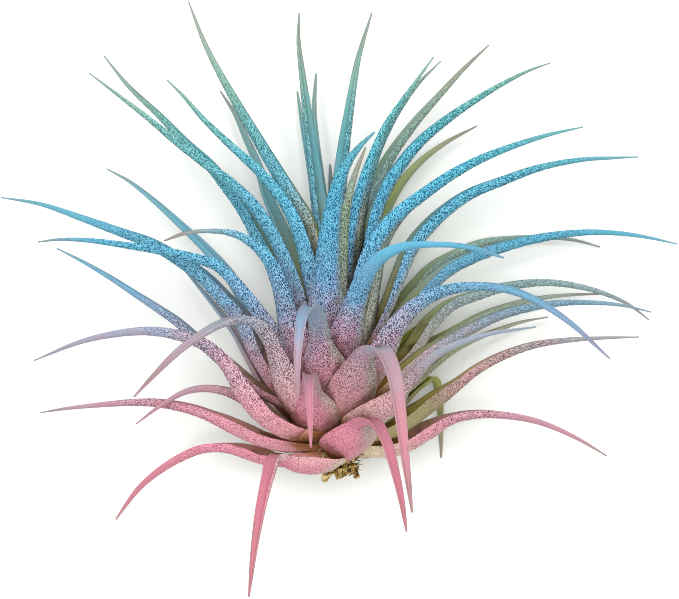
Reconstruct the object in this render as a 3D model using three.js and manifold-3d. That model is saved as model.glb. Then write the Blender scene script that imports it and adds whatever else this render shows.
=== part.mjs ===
// Sky plant: a tufted air plant that lies on its side on a table.
// Its leaves rise in a spiral from a short stem. Each has a broad sheath that clasps the
// stem and a channelled blade that tapers to a point. A dry root stub ends the stem.
// X runs across the rosette, Y from root to crown, Z up from the table.

import * as THREE from 'three';
import { mergeVertices } from 'three/addons/utils/BufferGeometryUtils.js';
import Module from 'manifold-3d';

const wasm = await Module();
wasm.setup();

// Driving dimensions in millimetres
const ROSETTE_SPAN = 122; // from the leftmost leaf tip to the rightmost
const EYE_HEIGHT = 600; // the photograph looks straight down from here
const SPAN_HEIGHT = 25; // height over the table at which the span is measured
const SHEATH_WALL = 0.95; // a sheath is a thin scoop
const BLADE_WALL = 1.0; // the floor of a blade's channel
const BLADE_WIDTH = 4.4; // where the blade leaves its sheath
const TIP_WIDTH = 0.65;
const LEAST_DEPTH = 0.62;
const CLEARANCE = 0.32; // between neighbouring leaves
const TABLE_CLEARANCE = 0.35; // under a leaf that doesn't rest on the table

// The photograph's grid, 679 by 599 steps, on which the leaf midlines are read
const GRID_SPAN = 676; // grid steps between the same two tips
const GRID_CENTRE = { across: 339.5, down: 299.5 };
const GRID_STEP = ROSETTE_SPAN / GRID_SPAN;

// Where the rosette's middle lies on the table, so that the box round it is centred
const ROSETTE_SHIFT = new THREE.Vector3(-0.45, -1, 0);

// A point of the plant from its place on the grid and its height over the table
function seen([across, down, height]) {
  const nearness = (EYE_HEIGHT - height) / (EYE_HEIGHT - SPAN_HEIGHT);
  const x = (across - GRID_CENTRE.across) * GRID_STEP * nearness;
  const y = (GRID_CENTRE.down - down) * GRID_STEP * nearness;
  return new THREE.Vector3(x, y, height).add(ROSETTE_SHIFT);
}

// The stem, from the root stub to the growing tip
const STEM_FOOT = seen([342, 463, 20]);
const STEM_TIP = seen([337, 350, 24]);
const STEM_FOOT_RADIUS = 3.6;
const STEM_TIP_RADIUS = 1.3;
const STEM_AXIS = STEM_TIP.clone().sub(STEM_FOOT).normalize();

// Leaves. Each midline runs from the stem to the leaf's tip: [across, down, height in mm].
const leaves = [];

function leaf(name, sheathWidth, midline, breadth = 1) {
  leaves.push({ name, sheathWidth, breadth, midline: midline.map(seen), root: midline[0][1] });
}

// Front leaves rise towards the eye and droop over the rest
leaf('front_leaf_1', 10.5, [[333, 462, 24], [312, 466, 31], [290, 462, 38], [275, 459, 43], [269, 478, 46],
  [262.5, 505, 47], [255.5, 545, 45], [249, 597, 42]]);
leaf('front_leaf_2', 10.5, [[344, 457, 24], [351, 442, 33], [361, 423, 43], [375, 424, 50], [386, 443, 54],
  [394, 470, 55], [401, 500, 55], [406.5, 532, 53]]);
leaf('front_leaf_3', 9.0, [[318, 438, 25], [315, 418, 33], [312, 394, 43], [309.5, 375.5, 54], [309, 383, 62],
  [310, 415, 66], [311, 448, 66]]);
leaf('front_leaf_4', 9.5, [[347, 424, 26], [350, 405, 33], [356, 380, 41], [367, 354, 52], [382, 352, 59],
  [393, 375, 63], [399, 410, 64], [404, 452, 64], [412, 513, 61]]);
leaf('front_leaf_5', 9.5, [[330, 412, 27], [327, 388, 34], [322, 360, 42], [318, 328, 52], [312, 308, 61],
  [303, 316, 67], [299, 340, 70], [297.5, 368, 70], [298, 402, 68]]);
leaf('front_leaf_6', 9.0, [[316, 425, 27], [299, 411, 32], [286, 390, 37], [277, 362, 42], [266, 336, 47],
  [250, 321, 51], [228, 322, 54], [205, 333, 55], [180, 351, 55], [155, 375, 53], [134, 397, 51]]);
leaf('front_leaf_7', 11.0, [[354, 432, 26], [372, 419, 31], [393, 402, 37], [412.5, 379.5, 42],
  [432, 359, 47], [456, 345, 51], [490, 334, 53], [536, 327, 52]]);
leaf('front_leaf_8', 8.5, [[342, 397, 28], [344, 366, 34], [349, 335, 41], [358, 301, 49], [369, 274, 55],
  [385, 256, 59], [407, 246.5, 61], [435, 244.5, 62], [468, 247.5, 61], [504, 258, 58]], 1.2);
leaf('front_leaf_9', 10.5, [[316, 402, 26], [299.5, 361, 32], [287, 321, 38], [279.5, 290, 43],
  [269.5, 264, 47], [254.5, 246, 50], [235, 234.5, 52], [211, 231, 53], [187.5, 233, 53], [164, 241, 51]
  ], 1.2);
leaf('front_leaf_10', 9.0, [[352, 407, 26], [367, 387, 30], [382, 360, 35], [397, 329, 40], [416, 307, 44],
  [441, 292.5, 47], [470, 286.5, 50], [502, 288.5, 52], [532, 299, 53], [567, 321, 54], [610, 359, 53]]);
leaf('front_leaf_11', 8.5, [[334, 387, 27], [329, 350, 31], [327, 312, 36], [328, 272, 41], [330, 236, 46],
  [336, 196, 52], [346, 167, 57], [360, 147, 61], [375, 132, 64]], 1.3);

// Left leaves, from the lowest up
leaf('left_leaf_1', 8.0, [[322, 455, 20], [296, 460, 20], [271, 460, 19], [249, 453, 18], [228, 448, 17],
  [205, 448.5, 15], [183, 457, 12.5], [160, 471, 9], [141, 487, 5.5], [127, 504, 2.4], [116, 519.5, 0.3]]);
leaf('left_leaf_2', 9.0, [[316, 448, 21], [290, 446, 22], [263, 440, 23], [240, 430, 23], [217, 419, 23],
  [190, 409, 23], [158, 403, 22], [130, 402.5, 21], [98, 405, 19], [66, 408.5, 17], [40.5, 412.7, 14]], 1.12);
leaf('left_leaf_3', 9.0, [[312, 440, 19], [285, 426, 19], [259, 411, 21], [241, 398, 23], [224, 391, 25],
  [205, 388.5, 26], [185, 392, 27], [160, 406, 27], [136, 424, 25]], 1.5);
leaf('left_leaf_4', 11.0, [[318, 437, 26], [289, 431.5, 30], [263, 416, 33], [243, 391, 36], [226, 364, 38],
  [205, 345, 39], [178, 335, 40], [150, 331, 39.5], [118, 333.5, 38], [80, 342, 35], [34, 360.5, 31]], 1.2);
leaf('left_leaf_5', 7.0, [[312, 425, 20], [284, 405, 20], [252, 386, 21], [222, 360.5, 21],
  [194.5, 337.5, 21], [175, 320.5, 21], [155, 307, 20.5], [135, 294, 19.5], [112, 279, 18], [85, 263, 16],
  [57, 248.5, 13.5]]);
leaf('left_leaf_6', 8.5, [[321, 400, 25], [302, 369, 28], [284, 344, 31], [266.5, 322.5, 34],
  [249.5, 300, 36], [233.5, 280.5, 37], [216, 265, 38], [190, 257, 38], [160, 250.5, 37], [128, 245.5, 35.5],
  [90, 240.5, 33], [60, 239.5, 30], [38, 242, 27]]);
leaf('left_leaf_7', 10.0, [[315, 411, 22], [280, 388, 24], [257.5, 355, 25], [243, 321, 26], [222, 297, 26.5],
  [202, 276.5, 26.5], [177.5, 259, 26], [150, 243, 25.5], [120, 232, 24.5], [80, 217.5, 22.5],
  [40, 204, 19.5], [1, 197.5, 16]], 1.15);

// Crown leaves stand up round the growing tip, from left to right
leaf('crown_leaf_1', 8.0, [[325, 377, 23], [309, 335, 26], [297, 292, 28], [283, 255, 30], [267, 224.5, 31],
  [251, 202, 31.5], [232, 184, 31.5], [210, 167, 31], [180, 144.5, 30], [151, 120.5, 28.5], [120, 96.5, 27],
  [89, 73, 25]]);
leaf('crown_leaf_2', 8.0, [[322, 374, 19], [304, 326, 19.5], [284, 281, 20], [260, 240.5, 20],
  [244.5, 212, 20], [227, 187.5, 19.5], [208.5, 164.5, 19], [184.5, 142, 18], [158.5, 115, 17],
  [128, 86, 15.5], [104, 56, 14]], 1.1);
leaf('crown_leaf_3', 8.0, [[330, 371, 26], [320, 330, 29], [312, 288, 31], [303, 247, 33], [292, 217, 34],
  [278, 194, 34.5], [257, 170, 34.5], [230.5, 145.5, 34], [203.5, 119.5, 32.5], [183, 96, 31], [167, 80, 29]
  ], 1.1);
leaf('crown_leaf_4', 8.0, [[332, 361, 24], [326, 312, 25.5], [317, 257, 26.5], [306, 221, 27.5],
  [291, 195, 28], [273.5, 166, 28], [254.5, 134, 27.5], [237, 104, 26.5], [220.5, 75, 25.5], [204, 42, 24],
  [188.5, 1.5, 22]], 1.3);
leaf('crown_leaf_5', 7.5, [[334, 352, 20], [327, 292, 20.5], [322, 237, 21], [316.5, 192, 21],
  [311, 150, 20.5], [306, 110, 21], [301, 70, 21], [298, 40, 20.5], [299, 13, 20]]);
leaf('crown_leaf_6', 7.5, [[341, 345, 24], [341, 292, 25], [340, 232, 26], [341, 187, 26], [344.5, 150, 25.5],
  [349, 118, 25], [353.5, 88, 24], [359, 58, 22.5], [372, 12.5, 21]], 1.1);
leaf('crown_leaf_7', 7.0, [[343, 350, 29], [341, 308, 33], [342, 268, 35], [344, 230, 36], [349.5, 196, 36.5],
  [356.5, 171, 36.5], [366, 147, 36]]);
leaf('crown_leaf_8', 7.5, [[344, 348, 27], [347, 292, 30], [350, 246, 31.5], [356, 208, 32], [364, 180, 32],
  [374, 153, 31.5], [386, 126, 31], [401, 103, 30], [416, 82, 29], [433.5, 57, 27]]);
leaf('crown_leaf_9', 7.0, [[346, 346, 20], [352, 292, 21], [357, 246, 22], [364, 202, 22.5], [373, 166, 22.5],
  [388, 130, 22], [404, 103, 21.5], [420.5, 81.5, 21], [441, 61, 20]]);
leaf('crown_leaf_10', 7.5, [[346, 350, 17], [354, 290, 17.5], [362, 228, 18], [372, 193, 18],
  [386.5, 164, 18], [401.5, 141, 17.5], [419.5, 118, 17], [441, 94, 16], [463, 70, 15], [489, 45, 13.5]
  ], 1.12);
leaf('crown_leaf_11', 7.5, [[349, 352, 23], [361, 288, 24], [373, 223, 25], [385, 190, 25.5],
  [402, 163.5, 25.5], [421, 141, 25], [446, 120, 24.5], [473, 101.5, 23.5], [503, 83.5, 22], [528, 71, 20.5],
  [550, 63, 19]], 1.15);
leaf('crown_leaf_12', 8.5, [[347, 368, 27], [351, 327, 30], [359, 289, 32], [371, 252, 33.5], [387, 226, 34],
  [405, 208.5, 34], [426, 192.5, 34], [452, 174.5, 33.5], [482, 158.5, 32.5], [515, 145.5, 31],
  [550, 134.5, 29], [583, 127, 27]], 1.2);
leaf('crown_leaf_13', 7.0, [[352, 373, 23], [372, 338, 23.5], [388, 306, 24], [400, 276, 24],
  [411, 249.5, 24], [427, 228.5, 24], [445.5, 211, 23.5], [470, 194, 22.5], [502, 181, 21], [542, 167, 19],
  [583, 159.5, 17], [612, 158, 15.5], [638, 157, 14]], 1.1);

leaf('crown_leaf_14', 8.0, [[351, 378, 20], [364, 345, 22], [372, 310, 24], [377.5, 280, 25],
  [384, 249.5, 26], [399, 222, 26], [424, 197, 25.5], [452, 178, 24.5]]);

// Right leaves, from the lowest up
leaf('right_leaf_1', 10.5, [[358, 450, 20], [380, 451, 20], [403, 445.5, 20], [426, 432.5, 20],
  [453, 418.5, 19.5], [480, 414, 18.5], [510, 416, 17], [540, 422.5, 15], [574, 437, 12.5], [607, 456, 10]]);
leaf('right_leaf_2', 10.0, [[361, 438, 22], [384, 434, 23], [407, 422, 24], [431, 403.5, 24], [454, 387, 24],
  [477, 369.5, 23.5], [502, 356, 23], [532, 345.5, 22], [564, 340.5, 20.5], [602, 338, 18.5], [639, 337, 16.5]
  ]);
leaf('right_leaf_3', 8.5, [[363, 407, 23], [392, 383, 24], [421, 359, 24.5], [448, 341.5, 24.5],
  [474, 327, 24], [500, 315.5, 23], [530, 307.5, 22], [560, 303, 20.5], [590, 302.5, 19], [620, 305, 17],
  [651, 312, 15]]);
leaf('right_leaf_4', 8.5, [[361, 402, 17], [387, 376, 16], [413, 349, 15], [431, 324, 14], [451, 305.5, 13.5],
  [478, 295, 12.5], [510, 286, 11.5], [545, 282.5, 10.5], [576, 286, 10], [605, 294, 9], [629, 305, 8],
  [649, 320, 7]]);
leaf('right_leaf_5', 8.5, [[356, 387, 20], [373, 360, 19.5], [392, 335, 19], [411, 308, 18], [430, 286, 17],
  [450, 269, 16], [477, 256, 14.5], [510, 245, 13], [545, 237, 11.5], [582, 232.5, 10], [620, 233.5, 8.5],
  [650, 238, 7], [677, 244, 6]]);

// Back leaves spread low over the table, behind the rest
leaf('back_leaf_1', 8.0, [[314, 402, 17], [285, 361, 15], [254, 317, 13], [226.5, 273.5, 12], [204, 248, 11],
  [180, 225, 10], [152.5, 200, 8.5], [129, 181.5, 7], [107, 169, 5.5]]);
leaf('back_leaf_2', 8.5, [[310, 426, 15], [290, 411, 13.5], [268, 390, 12], [248, 357, 10.5], [235, 334, 9.5],
  [219, 312, 8.5], [202, 291, 7.5], [184, 270, 6]], 1.15);
leaf('back_leaf_3', 7.5, [[324, 352, 16], [308, 304, 13], [294, 264, 11], [280, 228, 9.5], [267, 198, 8.5],
  [256, 163, 7.5], [245, 138, 6.5], [234.5, 114.5, 5.5], [220, 91, 4.5]]);
leaf('back_leaf_4', 7.5, [[335, 345, 16], [331, 285, 13], [325.5, 225, 11], [319.5, 172, 9], [316, 140, 8],
  [314, 110, 6.5], [316, 73, 5]], 0.5);
leaf('back_leaf_5', 7.0, [[329, 350, 14], [322, 290, 9.5], [318, 235, 7], [311.5, 180, 5], [303, 130, 3.6],
  [297, 91, 2.6]], 0.55);
leaf('back_leaf_6', 8.0, [[338, 400, 13], [337, 360, 7.5], [335.5, 310, 2.4], [334, 270, 0.5], [333, 235, 0.2],
  [331.5, 200, 0.15], [330, 164, 0.2]], 1.3);
leaf('back_leaf_7', 7.5, [[347, 352, 15], [362, 290, 12], [379, 230, 9], [390, 204, 8], [404, 181, 7],
  [422, 161, 6], [446, 143, 5], [477, 126, 4]]);
leaf('back_leaf_8', 8.0, [[352, 386, 14], [375, 350, 11], [400, 312, 9], [417, 286, 8], [435, 267, 7],
  [457, 254, 6], [482, 243, 5], [512, 238.5, 4.4], [545, 237.5, 3.6], [575, 240.5, 2.8], [600, 247, 2.2]]);
leaf('back_leaf_9', 8.0, [[362, 406, 15], [395, 374, 12], [428, 347, 10], [456, 330.5, 9], [482, 316, 8],
  [510, 305.5, 7], [545, 297.5, 6], [577, 294.5, 5], [610, 294, 4]], 0.85);
leaf('back_leaf_10', 8.0, [[363, 414, 15], [395, 394, 12], [425, 372, 9.5], [448, 354, 8], [470, 341.5, 7],
  [497, 330.5, 5.5], [522, 322, 4.5], [548, 317, 3.5]]);
leaf('back_leaf_11', 8.0, [[358, 404, 14], [378, 378, 11], [398, 350, 9], [413, 332, 8], [421, 328, 6.5],
  [424, 340, 4.6], [425, 362, 2.6]]);
leaf('back_leaf_12', 7.0, [[357, 428, 14], [380, 416, 12], [404, 399, 10.5], [423, 384, 9], [433.5, 379, 7.5],
  [438, 393, 5.6], [440, 420, 2.8], [441, 458, 0.3]], 0.85);

// Under leaves lie between the rosette and the table
leaf('under_leaf_1', 8.5, [[332, 455, 14], [305, 452, 9], [276, 443, 5.5], [244, 430, 3.6], [214, 418, 2.6]]);
leaf('under_leaf_2', 8.5, [[325, 448, 15], [302, 437, 10], [275, 413, 6.5], [250, 387, 4.5], [222, 358, 3]]);
leaf('under_leaf_3', 8.5, [[350, 454, 15], [378, 449, 10], [414, 434, 6.5], [452, 418, 4.2], [496, 414.5, 2.8]]);
leaf('under_leaf_4', 8.5, [[355, 444, 14], [380, 427, 9], [410, 409, 6], [440, 392, 4.2], [477, 371, 2.8]]);
leaf('under_leaf_5', 8.0, [[348, 392, 13], [372, 343, 9], [394, 292, 6.5], [416, 244, 5], [441, 212, 4],
  [472, 193, 3]]);
leaf('under_leaf_6', 8.0, [[325, 385, 14], [300, 325, 10], [270, 252, 7], [240, 192, 5], [197, 153, 3.4]]);
leaf('under_leaf_7', 8.0, [[320, 412, 14], [290, 377, 10], [259, 335, 7], [232, 303, 5], [206, 278, 3.4]]);

// Small helpers for numbers
function mix(from, to, share) {
  return from + (to - from) * share;
}

function smoothShare(value, start, end) {
  return THREE.MathUtils.smoothstep(value, start, end);
}

// Stations along a leaf: closer together where it bends
const STATIONS = 14;
const FINE_STEPS = 160;
const BEND_WEIGHT = 5.0; // millimetres of leaf that one radian of bend counts for

function stationsAlong(curve) {
  const reach = [0];
  let before = curve.getPointAt(0);
  let heading = curve.getTangentAt(0);
  for (let step = 1; step <= FINE_STEPS; step += 1) {
    const here = curve.getPointAt(step / FINE_STEPS);
    const turned = curve.getTangentAt(step / FINE_STEPS);
    reach.push(reach[step - 1] + here.distanceTo(before) + BEND_WEIGHT * turned.angleTo(heading));
    before = here;
    heading = turned;
  }
  const shares = [];
  let step = 0;
  for (let station = 0; station < STATIONS; station += 1) {
    const wanted = (reach[FINE_STEPS] * station) / (STATIONS - 1);
    while (step < FINE_STEPS - 1 && reach[step + 1] < wanted) {
      step += 1;
    }
    const within = (wanted - reach[step]) / (reach[step + 1] - reach[step]);
    shares.push(Math.min((step + within) / FINE_STEPS, 1));
  }
  return shares;
}

// How wide and deep a leaf is at a share of its length, from stem to tip
const SHEATH_END = 0.16;
const BLADE_START = 0.4;
const SHEATH_DEPTH = 0.27; // of its width
const BLADE_DEPTH = 0.5; // of its width
const SHEATH_SPREAD = THREE.MathUtils.degToRad(58);
const BLADE_SPREAD = THREE.MathUtils.degToRad(88);
const FOOT_SHARE = 0.62; // a sheath's width where it joins the stem
const TIP_TAPER = 0.085; // blade width gained for each millimetre from the tip

function formAt(share, length, { sheathWidth, breadth }) {
  const fromTip = (1 - share) * length;
  const bladeWidth = Math.min(BLADE_WIDTH * breadth, TIP_WIDTH + TIP_TAPER * breadth * fromTip);
  const flare = mix(FOOT_SHARE, 1, smoothShare(share, 0, SHEATH_END * 0.8));
  const asBlade = smoothShare(share, SHEATH_END, BLADE_START);
  const width = mix(sheathWidth * flare, bladeWidth, asBlade);
  const depth = Math.max(LEAST_DEPTH, width * mix(SHEATH_DEPTH, BLADE_DEPTH, asBlade));
  const wall = mix(SHEATH_WALL, BLADE_WALL, asBlade);
  return { width, depth, wall, spread: mix(SHEATH_SPREAD, BLADE_SPREAD, asBlade) };
}

// One ring of a leaf: five points round its outer face, three along its channel
const OUTER_PLACES = [-1, -0.5, 0, 0.5, 1];
const INNER_PLACES = [0.58, 0, -0.58];
const RING_SIZE = OUTER_PLACES.length + INNER_PLACES.length;

function ringAt(centre, across, outward, form, grow) {
  const { width, depth, wall, spread } = form;
  const rim = Math.cos(spread);
  const place = (share, half, deep, lift) => {
    const angle = share * spread;
    const sideways = (half * Math.sin(angle)) / Math.sin(spread);
    const out = (deep * (Math.cos(angle) - rim)) / (1 - rim) - depth / 2 + lift;
    return centre.clone().addScaledVector(across, sideways).addScaledVector(outward, out);
  };
  const channel = Math.max(depth - wall, -0.18 * depth);
  const edge = Math.max(width / 2 - 0.6, width / 4);
  const ring = OUTER_PLACES.map((share) => {
    const lift = Math.abs(share) === 1 ? -grow : 0;
    return place(share, width / 2 + grow, depth + grow, lift);
  });
  INNER_PLACES.forEach((share) => ring.push(place(share, edge, channel, -grow)));
  return ring;
}

// Side faces of the rings, and the two end faces
const FOOT_FACE = [[3, 4, 5], [3, 5, 6], [2, 3, 6], [1, 2, 6], [1, 6, 7], [0, 1, 7]];

function loft(rings) {
  const corners = rings.flat();
  const faces = [];
  for (let row = 0; row < rings.length - 1; row += 1) {
    for (let side = 0; side < RING_SIZE; side += 1) {
      const next = (side + 1) % RING_SIZE;
      const [a, b] = [row * RING_SIZE + side, row * RING_SIZE + next];
      const [c, d] = [a + RING_SIZE, b + RING_SIZE];
      faces.push([a, b, d], [a, d, c]);
    }
  }
  const last = (rings.length - 1) * RING_SIZE;
  FOOT_FACE.forEach(([a, b, c]) => {
    faces.push([c, b, a], [last + a, last + b, last + c]);
  });
  const geometry = new THREE.BufferGeometry();
  geometry.setAttribute('position', new THREE.Float32BufferAttribute(corners.flatMap((p) => p.toArray()), 3));
  geometry.setIndex(faces.flat());
  return geometry;
}

// Six times the volume that a mesh's faces enclose, negative if they point inwards
function facing(geometry) {
  const corners = geometry.attributes.position;
  const index = geometry.index.array;
  const [a, b, c] = [new THREE.Vector3(), new THREE.Vector3(), new THREE.Vector3()];
  let total = 0;
  for (let at = 0; at < index.length; at += 3) {
    a.fromBufferAttribute(corners, index[at]);
    b.fromBufferAttribute(corners, index[at + 1]);
    c.fromBufferAttribute(corners, index[at + 2]);
    total += a.dot(b.cross(c));
  }
  return total;
}

function asSolid(geometry) {
  const bare = geometry.clone();
  bare.deleteAttribute('normal');
  bare.deleteAttribute('uv');
  const merged = mergeVertices(bare, 1e-5);
  const index = Array.from(merged.index.array);
  if (facing(merged) < 0) {
    index.reverse();
  }
  return new wasm.Manifold(new wasm.Mesh({
    numProp: 3,
    vertProperties: new Float32Array(merged.attributes.position.array),
    triVerts: new Uint32Array(index),
  }));
}

function asGeometry(solid) {
  const mesh = solid.getMesh();
  const geometry = new THREE.BufferGeometry();
  geometry.setAttribute('position', new THREE.BufferAttribute(new Float32Array(mesh.vertProperties), 3));
  geometry.setIndex(Array.from(mesh.triVerts));
  return geometry;
}

// The way a leaf's blade lies: square to the plane in which it leaves the stem and bends
function acrossLeaf(midline) {
  const away = midline[midline.length - 1].clone().sub(STEM_TIP).setY(0);
  return new THREE.Vector3(0, 1, 0).cross(away).normalize();
}

function leafSolid(each, grow) {
  const { midline } = each;
  const curve = new THREE.CatmullRomCurve3(midline, false, 'centripetal');
  const length = curve.getLength();
  const level = acrossLeaf(midline);
  const shares = stationsAlong(curve);
  const rings = shares.map((share, station) => {
    const heading = curve.getTangentAt(share);
    const across = level.clone().addScaledVector(heading, -level.dot(heading)).normalize();
    const outward = new THREE.Vector3().crossVectors(across, heading);
    const centre = curve.getPointAt(share);
    if (station === 0) {
      centre.addScaledVector(heading, -grow);
    }
    if (station === STATIONS - 1) {
      centre.addScaledVector(heading, grow);
    }
    return ringAt(centre, across, outward, formAt(share, length, each), grow);
  });
  return asSolid(loft(rings));
}

// Stem: a short cone that the sheaths clasp
const STEM_SIDES = 16;

function stemSolid(grow) {
  const length = STEM_FOOT.distanceTo(STEM_TIP);
  const middle = mix(STEM_FOOT_RADIUS, STEM_TIP_RADIUS, 0.35);
  const profile = [
    [0, -grow],
    [STEM_FOOT_RADIUS + grow, -grow],
    [middle + grow, length * 0.55],
    [STEM_TIP_RADIUS + grow, length * 0.92],
    [0, length + grow],
  ].map(([radius, along]) => new THREE.Vector2(radius, along));
  const geometry = new THREE.LatheGeometry(profile, STEM_SIDES);
  const turn = new THREE.Quaternion().setFromUnitVectors(new THREE.Vector3(0, 1, 0), STEM_AXIS);
  geometry.applyQuaternion(turn);
  geometry.translate(STEM_FOOT.x, STEM_FOOT.y, STEM_FOOT.z);
  return asSolid(geometry);
}

// Root stub: a knob of dead tissue under the stem, with broken roots and dry scraps of old leaf
const STUB_RADIUS = 2.9;
const STUB_HEIGHT = 1.3;
const ROOT_COUNT = 10;
const ROOT_LENGTH = [1.1, 2.5];
const ROOT_RADIUS = [0.45, 0.85];
const ROOT_SIDES = 6;
const GOLDEN_ANGLE = Math.PI * (3 - Math.sqrt(5));
const SCRAPS = [
  // [place across, place in height, lean across, lean in height, length, radius], in millimetres
  [-1.9, 0.5, -0.95, 0.15, 3.1, 1.3],
  [2.1, -0.8, 0.45, -0.5, 2.4, 1.1],
];

// Draws between 0 and 1, the same ones each time
function seededDraws(seed) {
  let state = seed;
  return () => {
    state = (state * 16807) % 2147483647;
    return state / 2147483647;
  };
}

// A root end or a scrap: it starts at its place in the knob and leans away from the stem
function stubEnd([across, high, leanAcross, leanHigh, length, radius], sides, flatness) {
  const end = new THREE.CylinderGeometry(radius, radius * 0.4, length, sides, 2);
  const way = new THREE.Vector3(leanAcross, -1.6, leanHigh).normalize();
  end.scale(1, 1, flatness);
  end.translate(0, -length / 2, 0);
  end.applyQuaternion(new THREE.Quaternion().setFromUnitVectors(new THREE.Vector3(0, -1, 0), way));
  end.translate(STEM_FOOT.x + across, STEM_FOOT.y - STUB_HEIGHT * 0.5, STEM_FOOT.z + high);
  return asSolid(end);
}

function stubSolid() {
  const profile = [
    [0, -STUB_HEIGHT],
    [STUB_RADIUS * 0.6, -STUB_HEIGHT * 0.95],
    [STUB_RADIUS * 0.95, -STUB_HEIGHT * 0.5],
    [STUB_RADIUS, -CLEARANCE],
    [0, -CLEARANCE],
  ].map(([radius, along]) => new THREE.Vector2(radius, along));
  const knob = new THREE.LatheGeometry(profile, 14);
  knob.translate(STEM_FOOT.x, STEM_FOOT.y, STEM_FOOT.z);
  let stub = asSolid(knob);
  const draw = seededDraws(11);
  for (let root = 0; root < ROOT_COUNT; root += 1) {
    const angle = root * GOLDEN_ANGLE;
    const out = STUB_RADIUS * 0.8 * Math.sqrt((root + 0.5) / ROOT_COUNT);
    const [across, high] = [out * Math.cos(angle), out * Math.sin(angle)];
    const lean = 0.35 + 0.3 * draw();
    const length = mix(...ROOT_LENGTH, draw());
    const radius = mix(...ROOT_RADIUS, draw());
    stub = stub.add(stubEnd([across, high, lean * across, lean * high, length, radius], ROOT_SIDES, 1));
  }
  return SCRAPS.reduce((whole, scrap) => whole.add(stubEnd(scrap, 5, 0.45)), stub);
}

// Everything over the table, as one block to trim with
function overTable(height) {
  const block = new THREE.BoxGeometry(2 * ROSETTE_SPAN, 2 * ROSETTE_SPAN, ROSETTE_SPAN);
  block.translate(0, 0, ROSETTE_SPAN / 2 + height);
  return asSolid(block);
}

// Two boxes that overlap
function meets(one, other) {
  return one.min.every((low, axis) => low < other.max[axis] && other.min[axis] < one.max[axis]);
}

function largestBody(solid) {
  const bodies = solid.decompose();
  return bodies.reduce((best, body) => (body.volume() > best.volume() ? body : best));
}

// Colours by height in the tuft: pink at the root, lilac, then sky blue, green behind
const COLOURS = { pink: 0xe59bb6, lilac: 0xb9a6cf, blue: 0x62b0cb, green: 0x8b9c78 };

function leafColour({ name, midline }) {
  const middle = midline[Math.floor(midline.length / 2)].y;
  if (/^(back|under)/.test(name)) {
    return COLOURS.green;
  }
  if (middle < -14) {
    return COLOURS.pink;
  }
  return middle < 2 ? COLOURS.lilac : COLOURS.blue;
}

function mesh(name, solid, color, roughness) {
  const material = new THREE.MeshStandardMaterial({ color, roughness, metalness: 0 });
  const piece = new THREE.Mesh(asGeometry(solid), material);
  piece.name = name;
  return piece;
}

// The sheaths overlap as scales do: the lowest on the stem lies outside and stays whole,
// and each one above it is cut back clear of those below
const plant = new THREE.Group();
const stem = stemSolid(0);
const stemFence = stemSolid(CLEARANCE);
const stub = largestBody(stubSolid().subtract(stemFence));
plant.add(mesh('stem', stem, 0xb9b48c, 0.8));
plant.add(mesh('root_stub', stub, 0x8a6a35, 0.9));

const RESTING = ['left_leaf_1', 'back_leaf_12', 'back_leaf_6'];
const fences = [stemFence, stub];
leaves.sort((one, other) => other.root - one.root);
leaves.forEach((each) => {
  let solid = leafSolid(each, 0).intersect(overTable(RESTING.includes(each.name) ? 0 : TABLE_CLEARANCE));
  const fence = leafSolid(each, CLEARANCE);
  fences.forEach((other) => {
    if (meets(solid.boundingBox(), other.boundingBox())) {
      solid = solid.subtract(other);
    }
  });
  solid = largestBody(solid);
  fences.push(fence);
  plant.add(mesh(each.name, solid, leafColour(each), 0.75));
});

export default plant;
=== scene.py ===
# Sky plant: the looks of a tufted air plant that lies on its side, round its construction.
# Tables and sizes are in millimetres and meshes in metres. X runs across the rosette,
# Y from root to crown, Z up from the table.

import math
from itertools import count

import bmesh
import bpy
import numpy as np
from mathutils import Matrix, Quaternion, Vector, noise
from mathutils.bvhtree import BVHTree


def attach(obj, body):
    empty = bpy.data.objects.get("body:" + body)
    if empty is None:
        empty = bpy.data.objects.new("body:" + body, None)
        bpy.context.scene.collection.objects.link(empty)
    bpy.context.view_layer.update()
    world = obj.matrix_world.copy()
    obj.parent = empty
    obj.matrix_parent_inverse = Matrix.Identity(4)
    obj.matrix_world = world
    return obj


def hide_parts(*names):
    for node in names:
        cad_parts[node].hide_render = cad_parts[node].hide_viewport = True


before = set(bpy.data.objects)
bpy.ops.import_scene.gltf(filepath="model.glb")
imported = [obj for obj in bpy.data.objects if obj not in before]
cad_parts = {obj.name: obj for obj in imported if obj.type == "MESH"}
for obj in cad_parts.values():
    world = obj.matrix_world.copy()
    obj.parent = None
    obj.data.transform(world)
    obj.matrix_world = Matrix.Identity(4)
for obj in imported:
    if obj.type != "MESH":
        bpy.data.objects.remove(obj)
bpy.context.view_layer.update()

MM = 0.001
scene = bpy.context.scene
scene.view_settings.view_transform = "Standard"
scene.cycles.filter_width = 1.0  # fine scurf needs a sharp picture
scene.cycles.denoising_prefilter = "NONE"


# Camera
# It looks straight down at the table, from where the photograph was taken.
# Its picture is laid off in steps of a grid, 679 by 599, on which the leaves are read.
ROSETTE_SPAN = 122
EYE_HEIGHT = 600
SPAN_HEIGHT = 25
GRID_WIDTH = 679
GRID_SPAN = 676
GRID_ACROSS = 339.5
GRID_DOWN = 299.5
GRID_STEP = ROSETTE_SPAN / GRID_SPAN
ROSETTE_SHIFT = np.array([-0.45, -1.0, 0.0])
SENSOR_WIDTH = 36

eye = bpy.data.cameras.new("eye")
eye.sensor_width = SENSOR_WIDTH
eye.lens = SENSOR_WIDTH * (EYE_HEIGHT - SPAN_HEIGHT) / (GRID_WIDTH * GRID_STEP)
eye.clip_end = 10
camera = bpy.data.objects.new("camera", eye)
camera.location = Vector(ROSETTE_SHIFT + np.array([0, 0, EYE_HEIGHT])) * MM
scene.collection.objects.link(camera)
scene.camera = camera


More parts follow.
